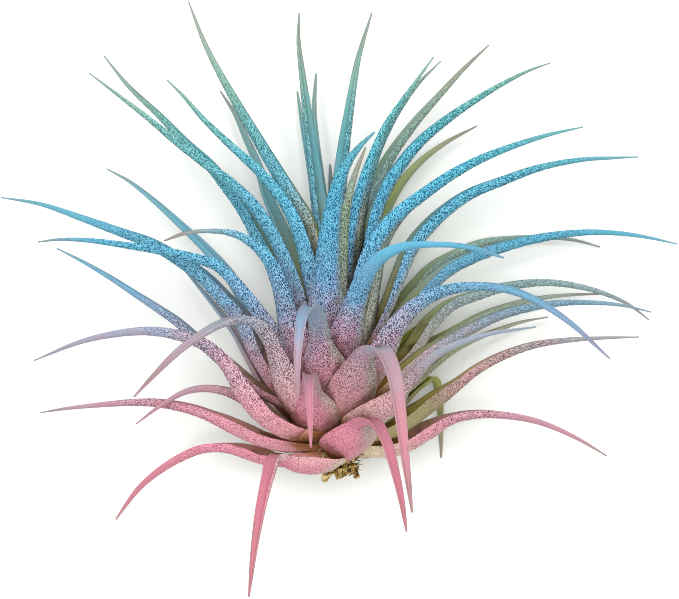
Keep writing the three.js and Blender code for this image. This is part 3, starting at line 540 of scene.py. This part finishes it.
def leaf(name, sheath_width, points, breadth=1.0, dye=1.0, smooth=0.8, scurf=1.0, bare=-0.1, worn=1.3,
         throat=0.7, fresh=0.0, tint=0.0):
    """Builds one leaf from its midline, given on the grid, and from what the dye did to it.

    breadth is its blade's width against the rest. dye says how much of the dye it took, bare the
    share of its length up to which the dye missed it, worn the share past which it wore off,
    smooth the share past which dye and scales lie flat, scurf how dark its pits are, throat how
    much of the dye its inner face lacks towards the stem, tint how many millimetres further up
    its blade seems to stand for the dye's colour, and fresh how yellow its own green is."""
    number = next(leaf_numbers)
    draw = np.random.default_rng(number)
    fine, run = midline(points)
    length = run[-1]
    heading = np.gradient(fine, run, axis=0)

    # Each corner strays a little, so that the scales don't stand in ranks
    inland = tube_outer & (np.abs(tube_sides) < 1) & (tube_steps > 0) & (tube_steps < STATIONS - 1)
    stray = draw.uniform(-SCALE_SHIFT, SCALE_SHIFT, (2, len(tube_steps))) * inland
    share = (tube_steps + stray[0]) / (STATIONS - 1)
    sides = tube_sides + stray[1] * 2 / OUTER_CELLS
    at = share * length

    # The leaf's form there
    from_tip = length - at
    swell = TIP_SWELL * (1 - np.exp(-from_tip / TIP_SWELL_RUN))
    blade = np.minimum(BLADE_WIDTH * breadth, TIP_WIDTH + swell + TIP_TAPER * breadth * from_tip)
    flare = mix(FOOT_SHARE, 1, smooth_share(share, 0, FLARE_END))
    as_blade = smooth_share(share, SHEATH_END, BLADE_START)
    width = mix(sheath_width * flare, blade, as_blade)
    width = width * np.where(tube_steps == STATIONS - 1, TIP_POINT, 1)
    depth = np.maximum(LEAST_DEPTH, width * mix(SHEATH_DEPTH, BLADE_DEPTH, as_blade))
    bend = np.interp(at, run, np.linalg.norm(np.gradient(heading, run, axis=0), axis=1)) * width
    width = width * (1 - FOLD_PINCH * smooth_share(bend, *PINCH))
    wall = np.minimum(mix(SHEATH_WALL, BLADE_WALL, as_blade), depth * WALL_SHARE)
    spread = mix(SHEATH_SPREAD, BLADE_SPREAD, as_blade)
    half = np.where(tube_outer, width / 2, np.maximum(width / 2 - RIM_WALL, width / 4))
    deep = np.where(tube_outer, depth, depth - wall)
    angle = sides * spread
    sideways = half * np.sin(angle) / np.sin(spread)
    bulge = (np.cos(angle) - np.cos(spread)) / (1 - np.cos(spread))
    out = deep * bulge - depth / 2

    # Its place on the midline, with the blade square to the plane in which it bends
    centre = np.stack([np.interp(at, run, fine[:, k]) for k in range(3)], axis=1)
    forward = unit(np.stack([np.interp(at, run, heading[:, k]) for k in range(3)], axis=1))
    away = fine[-1] - STEM_TIP
    away[1] = 0
    flat = unit(np.cross([0, 1, 0], away))
    across = unit(flat - forward * (forward @ flat)[:, None])
    outward = np.cross(across, forward)
    places = (centre + across * sideways[:, None] + outward * out[:, None]) * MM
    facing = unit(across * np.sin(angle)[:, None] + outward * np.cos(angle)[:, None])
    facing = np.where(tube_outer[:, None], facing, -facing)
    within_solid(places, name)
    filled = (depth * CLOSED - wall) * bulge * smooth_share(bend, *FOLD) * ~tube_outer
    places -= outward * filled[:, None] * MM
    places[:, 2] = np.maximum(places[:, 2], 0)

    # Shelter, tested on some stations and spread between them
    shelter = np.zeros(len(places))
    for ring_place in range(RING):
        row = np.flatnonzero(tube_places == ring_place)
        row = row[np.argsort(tube_steps[row])]
        some = row[::SHELTER_STEP]
        shelter[row] = np.interp(tube_steps[row], tube_steps[some], shelter_of(places[some], facing[some]))

    # Each scale's raised middle, from its four corners
    def at_middles(values):
        return np.concatenate([values, values[tube_corners].mean(axis=1)])

    flattened = smooth_share(share, smooth - SMOOTH_RUN, smooth + SMOOTH_RUN)
    size = np.minimum(width / SCALE_FULL, 1) * (1 - SCALE_FLAT * flattened)
    size = size[tube_corners].mean(axis=1)
    rise = SCALE_HEIGHT * size * draw.uniform(*SCALE_RISE, len(tube_corners))
    middles = places[tube_corners].mean(axis=1)
    middles = middles + facing[tube_corners].mean(axis=1) * rise[:, None]
    middles = middles + forward[tube_corners].mean(axis=1) * (SCALE_LEAN * size)[:, None]
    middles[:, 2] = np.maximum(middles[:, 2], 0)

    mesh = tube_mesh.copy()
    mesh.vertices.foreach_set("co", np.concatenate([places, middles]).ravel())
    inside = (~tube_outer).astype(float)
    hidden = smooth_share(shelter, *SHADED)
    sprayed = facing @ SPRAY
    facing_spray = smooth_share(sprayed, *SPRAY_FILLS) * dye * (1 - hidden)
    caught = mix(smooth_share(sprayed, *OUTER_CATCH), smooth_share(sprayed, *INNER_CATCH), inside)
    far_side = mix(SHEATH_BACK, BLADE_BACK, smooth_share(share, *BLADE_FREE))
    reach = mix(mix(far_side, INNER_BACK, inside), 1.0, caught)
    reach = reach * (1 - mix(SHADE_OUTER, mix(*SHADE_INNER, throat), inside) * hidden)
    reach = reach * (1 - throat * inside * (1 - smooth_share(share, *THROAT_RUN)))
    kept = smooth_share(share, bare - FADE, bare + FADE)
    kept = kept * (1 - smooth_share(share, worn - WEAR, worn + WEAR))
    filled_pits = mix(flattened, facing_spray, SPRAY_FILL)
    skin_values = {"inside": inside, "along": share, "dye": dye * reach * kept,
                   "fill": 1 - (1 - filled_pits) * scurf, "fresh": np.full(len(places), float(fresh)),
                   "tint": tint * smooth_share(share, *TINT_RUN), "shelter": shelter}
    for value_name, values in skin_values.items():
        row = mesh.attributes.new(value_name, "FLOAT", "POINT").data
        row.foreach_set("value", at_middles(values).astype(np.float32))

    # The skin's own map, in millimetres: round the leaf from its keel, and down its length
    arc = half * spread / np.sin(spread)
    round_leaf = np.where(tube_outer, sides * arc, arc + (1 - sides) * arc)
    round_leaf, girth, at = at_middles(round_leaf), at_middles(4 * arc), at_middles(at)
    corner = np.empty(len(mesh.loops), dtype=np.int32)
    mesh.loops.foreach_get("vertex_index", corner)
    round_leaf = round_leaf[corner] + girth[corner] * tube_wrapped
    skin_map = np.stack([round_leaf, at[corner] + SKIN_SHIFT * number], axis=1)
    mesh.uv_layers.new(name="skin").data.foreach_set("uv", skin_map.astype(np.float32).ravel())
    mesh.update()

    piece = add_piece("plant_" + name, mesh, leaf_skin)
    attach(piece, "root")
    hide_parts(name)


# Under leaves
# The oldest leaves. They lie between the tuft and the table, where little dye reached them,
# and show from the side only.
UNDER_LEAVES = (
    (8.5, [(332, 455, 14), (305, 452, 9), (276, 443, 5.5), (244, 430, 3.6), (214, 418, 2.6)]),
    (8.5, [(325, 448, 15), (302, 437, 10), (275, 413, 6.5), (250, 387, 4.5), (222, 358, 3)]),
    (8.5, [(350, 454, 15), (378, 449, 10), (414, 434, 6.5), (452, 418, 4.2), (496, 414.5, 2.8)]),
    (8.5, [(355, 444, 14), (380, 427, 9), (410, 409, 6), (440, 392, 4.2), (477, 371, 2.8)]),
    (8.0, [(348, 392, 13), (372, 343, 9), (394, 292, 6.5), (416, 244, 5), (441, 212, 4), (472, 193, 3)]),
    (8.0, [(325, 385, 14), (300, 325, 10), (270, 252, 7), (240, 192, 5), (197, 153, 3.4)]),
    (8.0, [(320, 412, 14), (290, 377, 10), (259, 335, 7), (232, 303, 5), (206, 278, 3.4)]))

for number, (sheath_width, points) in enumerate(UNDER_LEAVES, 1):
    leaf(f"under_leaf_{number}", sheath_width, points, dye=0.3, smooth=0.6, fresh=0.1)


# Back leaves
# Older leaves that spread low over the table behind the rest. Those on the left took most of
# the dye, and those on the right mostly keep their own green.
leaf("back_leaf_1", 8.0, [
    (314, 402, 17), (285, 361, 15), (254, 317, 13), (226.5, 273.5, 12), (204, 248, 11), (180, 225, 10),
    (152.5, 200, 8.5), (129, 181.5, 7), (107, 169, 5.5)],
    dye=0.75, smooth=0.4)
leaf("back_leaf_2", 8.5, [
    (310, 426, 15), (290, 411, 13.5), (268, 390, 12), (248, 357, 10.5), (235, 334, 9.5),
    (219, 312, 8.5), (202, 291, 7.5), (184, 270, 6)],
    breadth=1.15, dye=0.7, smooth=0.4, scurf=0.7, throat=0.2)
leaf("back_leaf_3", 7.5, [
    (324, 352, 16), (308, 304, 13), (294, 264, 11), (280, 228, 9.5), (267, 198, 8.5), (256, 163, 7.5),
    (245, 138, 6.5), (234.5, 114.5, 5.5), (220, 91, 4.5)],
    dye=0.65, smooth=0.5, scurf=0.7)
leaf("back_leaf_4", 7.5, [
    (335, 345, 16), (331, 285, 13), (325.5, 225, 11), (319.5, 172, 9), (316, 140, 8), (314, 110, 6.5),
    (316, 73, 5)],
    breadth=0.5, dye=0.75, smooth=0.6, scurf=0.7)
leaf("back_leaf_5", 7.0, [
    (329, 350, 14), (322, 290, 9.5), (318, 235, 7), (311.5, 180, 5), (303, 130, 3.6), (297, 91, 2.6)],
    breadth=0.55, dye=0.9, smooth=0.6, scurf=0.8)
leaf("back_leaf_6", 8.0, [
    (338, 400, 13), (337, 360, 7.5), (335.5, 310, 2.4), (334, 270, 0.5), (333, 235, 0.2),
    (331.5, 200, 0.15), (330, 164, 0.2)],
    breadth=1.3, dye=0.6, smooth=0.6)
leaf("back_leaf_7", 7.5, [
    (347, 352, 15), (362, 290, 12), (379, 230, 9), (390, 204, 8), (404, 181, 7), (422, 161, 6),
    (446, 143, 5), (477, 126, 4)],
    dye=0.08, smooth=0.5, fresh=0.5, scurf=0.6)
leaf("back_leaf_8", 8.0, [
    (352, 386, 14), (375, 350, 11), (400, 312, 9), (417, 286, 8), (435, 267, 7), (457, 254, 6),
    (482, 243, 5), (512, 238.5, 4.4), (545, 237.5, 3.6), (575, 240.5, 2.8), (600, 247, 2.2)],
    dye=0.35, smooth=0.7, fresh=0.35, scurf=0.6)
leaf("back_leaf_9", 8.0, [
    (362, 406, 15), (395, 374, 12), (428, 347, 10), (456, 330.5, 9), (482, 316, 8), (510, 305.5, 7),
    (545, 297.5, 6), (577, 294.5, 5), (610, 294, 4)],
    breadth=0.85, dye=0.2, smooth=0.7, fresh=0.2, scurf=0.5)
leaf("back_leaf_10", 8.0, [
    (363, 414, 15), (395, 394, 12), (425, 372, 9.5), (448, 354, 8), (470, 341.5, 7), (497, 330.5, 5.5),
    (522, 322, 4.5), (548, 317, 3.5)],
    dye=0.1, smooth=0.5, fresh=0.35, scurf=0.6)
leaf("back_leaf_11", 8.0, [
    (358, 404, 14), (378, 378, 11), (398, 350, 9), (413, 332, 8), (421, 328, 6.5), (424, 340, 4.6),
    (425, 362, 2.6)],
    dye=0.02, smooth=0.5, fresh=1)
leaf("back_leaf_12", 7.0, [
    (357, 428, 14), (380, 416, 12), (404, 399, 10.5), (423, 384, 9), (433.5, 379, 7.5), (438, 393, 5.6),
    (440, 420, 2.8), (441, 458, 0.3)],
    breadth=0.85, dye=0.05, smooth=0.5, fresh=0.8, scurf=0.6)


# Right leaves
# Full-grown leaves that clasp the stem on its right side and arch out level. That side took
# less dye than the left, so some of them show their own green.
leaf("right_leaf_1", 10.5, [
    (358, 450, 20), (380, 451, 20), (403, 445.5, 20), (426, 432.5, 20), (453, 418.5, 19.5),
    (480, 414, 18.5), (510, 416, 17), (540, 422.5, 15), (574, 437, 12.5), (607, 456, 10)],
    dye=0.85, smooth=0.58, bare=0.12, worn=0.95, throat=0.2, tint=2)
leaf("right_leaf_2", 10.0, [
    (361, 438, 22), (384, 434, 23), (407, 422, 24), (431, 403.5, 24), (454, 387, 24),
    (477, 369.5, 23.5), (502, 356, 23), (532, 345.5, 22), (564, 340.5, 20.5), (602, 338, 18.5),
    (639, 337, 16.5)],
    dye=0.72, smooth=0.75, bare=0.3, fresh=0.75, tint=-5, scurf=0.8, worn=1.1)
leaf("right_leaf_3", 8.5, [
    (363, 407, 23), (392, 383, 24), (421, 359, 24.5), (448, 341.5, 24.5), (474, 327, 24),
    (500, 315.5, 23), (530, 307.5, 22), (560, 303, 20.5), (590, 302.5, 19), (620, 305, 17),
    (651, 312, 15)],
    dye=0.65, smooth=0.85, bare=0.15, tint=-1, scurf=0.5)
leaf("right_leaf_4", 8.5, [
    (361, 402, 17), (387, 376, 16), (413, 349, 15), (431, 324, 14), (451, 305.5, 13.5),
    (478, 295, 12.5), (510, 286, 11.5), (545, 282.5, 10.5), (576, 286, 10), (605, 294, 9),
    (629, 305, 8), (649, 320, 7)],
    dye=0.35, smooth=0.9, scurf=0.65)
leaf("right_leaf_5", 8.5, [
    (356, 387, 20), (373, 360, 19.5), (392, 335, 19), (411, 308, 18), (430, 286, 17), (450, 269, 16),
    (477, 256, 14.5), (510, 245, 13), (545, 237, 11.5), (582, 232.5, 10), (620, 233.5, 8.5),
    (650, 238, 7), (677, 244, 6)],
    dye=0.95, scurf=0.65)


# Left leaves
# Full-grown leaves that clasp the stem on its left side and arch over, with their channels
# turned up. They took nearly all of the dye.
leaf("left_leaf_1", 8.0, [
    (322, 455, 20), (296, 460, 20), (271, 460, 19), (249, 453, 18), (228, 448, 17), (205, 448.5, 15),
    (183, 457, 12.5), (160, 471, 9), (141, 487, 5.5), (127, 504, 2.4), (116, 519.5, 0.3)],
    smooth=0.6, throat=0.2, worn=1.05)
leaf("left_leaf_2", 9.0, [
    (316, 448, 21), (290, 446, 22), (263, 440, 23), (240, 430, 23), (217, 419, 23), (190, 409, 23),
    (158, 403, 22), (130, 402.5, 21), (98, 405, 19), (66, 408.5, 17), (40.5, 412.7, 14)],
    breadth=1.12, dye=0.9, smooth=0.7, worn=0.9, throat=0.2, scurf=0.85)
leaf("left_leaf_3", 9.0, [
    (312, 440, 19), (285, 426, 19), (259, 411, 21), (241, 398, 23), (224, 391, 25), (205, 388.5, 26),
    (185, 392, 27), (160, 406, 27), (136, 424, 25)],
    breadth=1.5, dye=0.8, smooth=0.5, throat=0.2)
leaf("left_leaf_4", 11.0, [
    (318, 437, 26), (289, 431.5, 30), (263, 416, 33), (243, 391, 36), (226, 364, 38), (205, 345, 39),
    (178, 335, 40), (150, 331, 39.5), (118, 333.5, 38), (80, 342, 35), (34, 360.5, 31)],
    breadth=1.2, dye=0.85, smooth=0.6, tint=-4, throat=0.2)
leaf("left_leaf_5", 7.0, [
    (312, 425, 20), (284, 405, 20), (252, 386, 21), (222, 360.5, 21), (194.5, 337.5, 21),
    (175, 320.5, 21), (155, 307, 20.5), (135, 294, 19.5), (112, 279, 18), (85, 263, 16),
    (57, 248.5, 13.5)],
    dye=0.85, smooth=0.6, tint=-3, throat=0.2)
leaf("left_leaf_6", 8.5, [
    (321, 400, 25), (302, 369, 28), (284, 344, 31), (266.5, 322.5, 34), (249.5, 300, 36),
    (233.5, 280.5, 37), (216, 265, 38), (190, 257, 38), (160, 250.5, 37), (128, 245.5, 35.5),
    (90, 240.5, 33), (60, 239.5, 30), (38, 242, 27)],
    dye=0.95, smooth=0.85, throat=0.2, worn=1.0)
leaf("left_leaf_7", 10.0, [
    (315, 411, 22), (280, 388, 24), (257.5, 355, 25), (243, 321, 26), (222, 297, 26.5),
    (202, 276.5, 26.5), (177.5, 259, 26), (150, 243, 25.5), (120, 232, 24.5), (80, 217.5, 22.5),
    (40, 204, 19.5), (1, 197.5, 16)],
    breadth=1.15, dye=0.9, smooth=0.7, throat=0.2)


# Crown leaves
# The youngest and straightest of all. They stand up round the growing tip, most of them
# sprayed sky blue and three of them left nearly green.
leaf("crown_leaf_1", 8.0, [
    (325, 377, 23), (309, 335, 26), (297, 292, 28), (283, 255, 30), (267, 224.5, 31), (251, 202, 31.5),
    (232, 184, 31.5), (210, 167, 31), (180, 144.5, 30), (151, 120.5, 28.5), (120, 96.5, 27),
    (89, 73, 25)],
    dye=0.9, smooth=0.9)
leaf("crown_leaf_2", 8.0, [
    (322, 374, 19), (304, 326, 19.5), (284, 281, 20), (260, 240.5, 20), (244.5, 212, 20),
    (227, 187.5, 19.5), (208.5, 164.5, 19), (184.5, 142, 18), (158.5, 115, 17), (128, 86, 15.5),
    (104, 56, 14)],
    breadth=1.1, dye=0.9, smooth=0.84)
leaf("crown_leaf_3", 8.0, [
    (330, 371, 26), (320, 330, 29), (312, 288, 31), (303, 247, 33), (292, 217, 34), (278, 194, 34.5),
    (257, 170, 34.5), (230.5, 145.5, 34), (203.5, 119.5, 32.5), (183, 96, 31), (167, 80, 29)],
    breadth=1.1, dye=0.95, smooth=0.9)
leaf("crown_leaf_4", 8.0, [
    (332, 361, 24), (326, 312, 25.5), (317, 257, 26.5), (306, 221, 27.5), (291, 195, 28),
    (273.5, 166, 28), (254.5, 134, 27.5), (237, 104, 26.5), (220.5, 75, 25.5), (204, 42, 24),
    (188.5, 1.5, 22)],
    breadth=1.3, dye=0.85, smooth=0.76, bare=0.4)
leaf("crown_leaf_5", 7.5, [
    (334, 352, 20), (327, 292, 20.5), (322, 237, 21), (316.5, 192, 21), (311, 150, 20.5),
    (306, 110, 21), (301, 70, 21), (298, 40, 20.5), (299, 13, 20)],
    dye=0.8)
leaf("crown_leaf_6", 7.5, [
    (341, 345, 24), (341, 292, 25), (340, 232, 26), (341, 187, 26), (344.5, 150, 25.5), (349, 118, 25),
    (353.5, 88, 24), (359, 58, 22.5), (372, 12.5, 21)],
    breadth=1.1, dye=0.85, smooth=0.72)
leaf("crown_leaf_7", 7.0, [
    (343, 350, 29), (341, 308, 33), (342, 268, 35), (344, 230, 36), (349.5, 196, 36.5),
    (356.5, 171, 36.5), (366, 147, 36)],
    dye=0.2, smooth=0.9, fresh=0.4)
leaf("crown_leaf_8", 7.5, [
    (344, 348, 27), (347, 292, 30), (350, 246, 31.5), (356, 208, 32), (364, 180, 32), (374, 153, 31.5),
    (386, 126, 31), (401, 103, 30), (416, 82, 29), (433.5, 57, 27)],
    smooth=0.9)
leaf("crown_leaf_9", 7.0, [
    (346, 346, 20), (352, 292, 21), (357, 246, 22), (364, 202, 22.5), (373, 166, 22.5), (388, 130, 22),
    (404, 103, 21.5), (420.5, 81.5, 21), (441, 61, 20)],
    dye=0.75, smooth=0.9, bare=0.48)
leaf("crown_leaf_10", 7.5, [
    (346, 350, 17), (354, 290, 17.5), (362, 228, 18), (372, 193, 18), (386.5, 164, 18),
    (401.5, 141, 17.5), (419.5, 118, 17), (441, 94, 16), (463, 70, 15), (489, 45, 13.5)],
    breadth=1.12, dye=0.35, smooth=0.9, fresh=0.1, scurf=0.8)
leaf("crown_leaf_11", 7.5, [
    (349, 352, 23), (361, 288, 24), (373, 223, 25), (385, 190, 25.5), (402, 163.5, 25.5),
    (421, 141, 25), (446, 120, 24.5), (473, 101.5, 23.5), (503, 83.5, 22), (528, 71, 20.5),
    (550, 63, 19)],
    breadth=1.15, smooth=0.9, tint=-4)
leaf("crown_leaf_12", 8.5, [
    (347, 368, 27), (351, 327, 30), (359, 289, 32), (371, 252, 33.5), (387, 226, 34), (405, 208.5, 34),
    (426, 192.5, 34), (452, 174.5, 33.5), (482, 158.5, 32.5), (515, 145.5, 31), (550, 134.5, 29),
    (583, 127, 27)],
    breadth=1.2, tint=-4)
leaf("crown_leaf_13", 7.0, [
    (352, 373, 23), (372, 338, 23.5), (388, 306, 24), (400, 276, 24), (411, 249.5, 24),
    (427, 228.5, 24), (445.5, 211, 23.5), (470, 194, 22.5), (502, 181, 21), (542, 167, 19),
    (583, 159.5, 17), (612, 158, 15.5), (638, 157, 14)],
    breadth=1.1, dye=0.95, tint=-4)
leaf("crown_leaf_14", 8.0, [
    (351, 378, 20), (364, 345, 22), (372, 310, 24), (377.5, 280, 25), (384, 249.5, 26), (399, 222, 26),
    (424, 197, 25.5), (452, 178, 24.5)],
    dye=0.15, smooth=0.9, scurf=0.8)


# Front leaves
# They rise towards the eye on broad sheaths and droop over the rest, so that their smooth dyed
# blades hang free. The lowest of them fold over sharply.
leaf("front_leaf_1", 10.5, [
    (333, 462, 24), (312, 466, 31), (290, 462, 38), (275, 459, 43), (269, 478, 46), (262.5, 505, 47),
    (255.5, 545, 45), (249, 597, 42)],
    smooth=0.66, bare=0.14, worn=1.1, throat=0.2)
leaf("front_leaf_2", 10.5, [
    (344, 457, 24), (351, 442, 33), (361, 423, 43), (375, 424, 50), (386, 443, 54), (394, 470, 55),
    (401, 500, 55), (406.5, 532, 53)],
    smooth=0.4, worn=1.1, throat=0.2)
leaf("front_leaf_3", 9.0, [
    (318, 438, 25), (315, 418, 33), (312, 394, 43), (309.5, 375.5, 54), (309, 383, 62), (310, 415, 66),
    (311, 448, 66)],
    smooth=0.4, bare=0.03, throat=0.2)
leaf("front_leaf_4", 9.5, [
    (347, 424, 26), (350, 405, 33), (356, 380, 41), (367, 354, 52), (382, 352, 59), (393, 375, 63),
    (399, 410, 64), (404, 452, 64), (412, 513, 61)],
    dye=0.8, smooth=0.45, throat=0.2, worn=1.05)
leaf("front_leaf_5", 9.5, [
    (330, 412, 27), (327, 388, 34), (322, 360, 42), (318, 328, 52), (312, 308, 61), (303, 316, 67),
    (299, 340, 70), (297.5, 368, 70), (298, 402, 68)],
    dye=0.9, smooth=0.5, tint=1, throat=0.2)
leaf("front_leaf_6", 9.0, [
    (316, 425, 27), (299, 411, 32), (286, 390, 37), (277, 362, 42), (266, 336, 47), (250, 321, 51),
    (228, 322, 54), (205, 333, 55), (180, 351, 55), (155, 375, 53), (134, 397, 51)],
    dye=0.7, smooth=0.62, tint=-3, worn=1.15, throat=0.2)
leaf("front_leaf_7", 11.0, [
    (354, 432, 26), (372, 419, 31), (393, 402, 37), (412.5, 379.5, 42), (432, 359, 47), (456, 345, 51),
    (490, 334, 53), (536, 327, 52)],
    dye=0.65, smooth=0.52, tint=1, throat=0.2)
leaf("front_leaf_8", 8.5, [
    (342, 397, 28), (344, 366, 34), (349, 335, 41), (358, 301, 49), (369, 274, 55), (385, 256, 59),
    (407, 246.5, 61), (435, 244.5, 62), (468, 247.5, 61), (504, 258, 58)],
    breadth=1.2, smooth=0.56, throat=0.2, tint=2)
leaf("front_leaf_9", 10.5, [
    (316, 402, 26), (299.5, 361, 32), (287, 321, 38), (279.5, 290, 43), (269.5, 264, 47),
    (254.5, 246, 50), (235, 234.5, 52), (211, 231, 53), (187.5, 233, 53), (164, 241, 51)],
    breadth=1.2, dye=0.95, smooth=0.85, worn=0.85, throat=0.2)
leaf("front_leaf_10", 9.0, [
    (352, 407, 26), (367, 387, 30), (382, 360, 35), (397, 329, 40), (416, 307, 44), (441, 292.5, 47),
    (470, 286.5, 50), (502, 288.5, 52), (532, 299, 53), (567, 321, 54), (610, 359, 53)],
    dye=0.9, smooth=0.62, throat=0.2, worn=1.15)
leaf("front_leaf_11", 8.5, [
    (334, 387, 27), (329, 350, 31), (327, 312, 36), (328, 272, 41), (330, 236, 46), (336, 196, 52),
    (346, 167, 57), (360, 147, 61), (375, 132, 64)],
    breadth=1.3, smooth=0.95)


# Root stub
# The dead end of the stem: a dark knot of broken roots, with straw-coloured papery scraps
# of old leaf base hanging from it, and loose fibres all over it. It is dry, so nothing shines.
ROOT_CUTS = 3
ROOT_ROUNDS = 3
ROOT_ROUGH = 0.3  # millimetres that its surface is drawn in and out
ROOT_LUMPS = 1.1  # of that roughness, in a millimetre
ROOT_CRUMBS = 2.3  # finer than the lumps by this much, and half as high
FIBRES = 80
FIBRE_RADIUS = (0.1, 0.24)
FIBRE_LENGTH = (0.9, 1.9)
HAIRS = 10
HAIR_RADIUS = (0.04, 0.07)
HAIR_LENGTH = (1.6, 2.8)
STRAND_SIDES = 7
STRAND_STEPS = 10
STRAND_TAPER = 0.6
STRAND_SWAY = 0.5
STRAND_WAYS = ((-1.1, 1.1), (-1, 0.1), (-0.7, 1))  # how far they head across, along and up
STRAND_STRAY = 0.7  # how far they start from the way they head
STRAND_DEPTH = (0.1, 0.8)  # share of the knot's radius at which they start
KNOT_RADIUS = 2.7
KNOT_PLACE = STEM_FOOT + np.array([0.9, -0.1, 0.0])
STRAW_SIDE = -14  # how much paler it is for each metre to the left

stub_skin, tree, output = blank_material("dry root and papery bract")
place = add_node(tree, "TexCoord").outputs["Object"]
grain = add_node(tree, "TexNoise", {"Scale": ROOT_LUMPS / MM, "Detail": 4},
                 {"Vector": place}).outputs["Fac"]
across = add_node(tree, "SeparateXYZ", links={0: place}).outputs["X"]
grain = add_node(tree, "Math", {1: STRAW_SIDE}, {0: across, 2: grain}, operation="MULTIPLY_ADD").outputs[0]
shade = add_node(tree, "ValToRGB", links={"Fac": grain}, stops=DRY_ROOT).outputs["Color"]
bark = add_node(tree, "BsdfPrincipled", {"Roughness": 0.85}, {"Base Color": shade})
tree.links.new(bark.outputs["BSDF"], output.inputs["Surface"])

stub = bmesh.new()
stub.from_mesh(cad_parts["root_stub"].data)
bmesh.ops.remove_doubles(stub, verts=stub.verts, dist=1e-7)
bmesh.ops.subdivide_edges(stub, edges=stub.edges, cuts=ROOT_CUTS, use_grid_fill=True)
for _ in range(ROOT_ROUNDS):
    bmesh.ops.smooth_vert(stub, verts=stub.verts, factor=0.5,
                          use_axis_x=True, use_axis_y=True, use_axis_z=True)
stub.normal_update()
for vertex in stub.verts:
    spot = vertex.co / MM * ROOT_LUMPS
    drawn = noise.noise(spot) + 0.5 * noise.noise(spot * ROOT_CRUMBS)
    vertex.co += vertex.normal * drawn * ROOT_ROUGH * MM

# One strand, bent and laid again for each fibre and hair
strand = stepped_tube(STRAND_SIDES, STRAND_STEPS)
strand_mesh = bpy.data.meshes.new("strand")
strand.to_mesh(strand_mesh)
strand.free()
strand_form = np.array([vertex.co for vertex in strand_mesh.vertices])
strand_share = strand_form[:, 2] + 0.5
draw = np.random.default_rng(71)
for strands, radii, lengths in ((FIBRES, FIBRE_RADIUS, FIBRE_LENGTH), (HAIRS, HAIR_RADIUS, HAIR_LENGTH)):
    for _ in range(strands):
        way = unit(np.array([draw.uniform(*limits) for limits in STRAND_WAYS]))
        start = draw.uniform(*STRAND_DEPTH) * KNOT_RADIUS * unit(way + draw.normal(0, STRAND_STRAY, 3))
        sway = np.cross(way, unit(draw.normal(0, 1, 3)))
        side = unit(np.cross(way, sway))
        other_side = unit(np.cross(side, way))
        length = draw.uniform(*lengths)
        radius = draw.uniform(*radii) * (1 - STRAND_TAPER * strand_share)
        laid = KNOT_PLACE + start + np.outer(strand_share * length, way)
        laid = laid + np.outer(strand_share ** 2 * length * STRAND_SWAY, sway)
        laid = laid + np.outer(strand_form[:, 0] * radius, side)
        laid = laid + np.outer(strand_form[:, 1] * radius, other_side)
        strand_mesh.vertices.foreach_set("co", (laid * MM).ravel())
        stub.from_mesh(strand_mesh)
bmesh.ops.recalc_face_normals(stub, faces=stub.faces)
stub_mesh = bpy.data.meshes.new("root_stub")
stub.to_mesh(stub_mesh)
stub.free()
stub_mesh.shade_smooth()
stub_piece = add_piece("plant_root_stub", stub_mesh, stub_skin)
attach(stub_piece, "root")
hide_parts("root_stub")


# Light
# Plain daylight from all round, and one wide soft box over the upper left.
SKY_STRENGTH = 0.6
BOX_SIDE = 0.7
BOX_PLACE = (-0.03, 0.12, 1.25)
BOX_POWER = 16

world = bpy.data.worlds.new("daylight")
world.use_nodes = True
world.node_tree.nodes["Background"].inputs["Color"].default_value = linear("#ffffff")
world.node_tree.nodes["Background"].inputs["Strength"].default_value = SKY_STRENGTH
scene.world = world
box_light = bpy.data.lights.new("soft_box", "AREA")
box_light.size = BOX_SIDE
box_light.energy = BOX_POWER
soft_box = bpy.data.objects.new("soft_box", box_light)
soft_box.location = BOX_PLACE
soft_box.rotation_mode = "QUATERNION"
soft_box.rotation_quaternion = Vector(BOX_PLACE).to_track_quat("Z", "Y")
scene.collection.objects.link(soft_box)
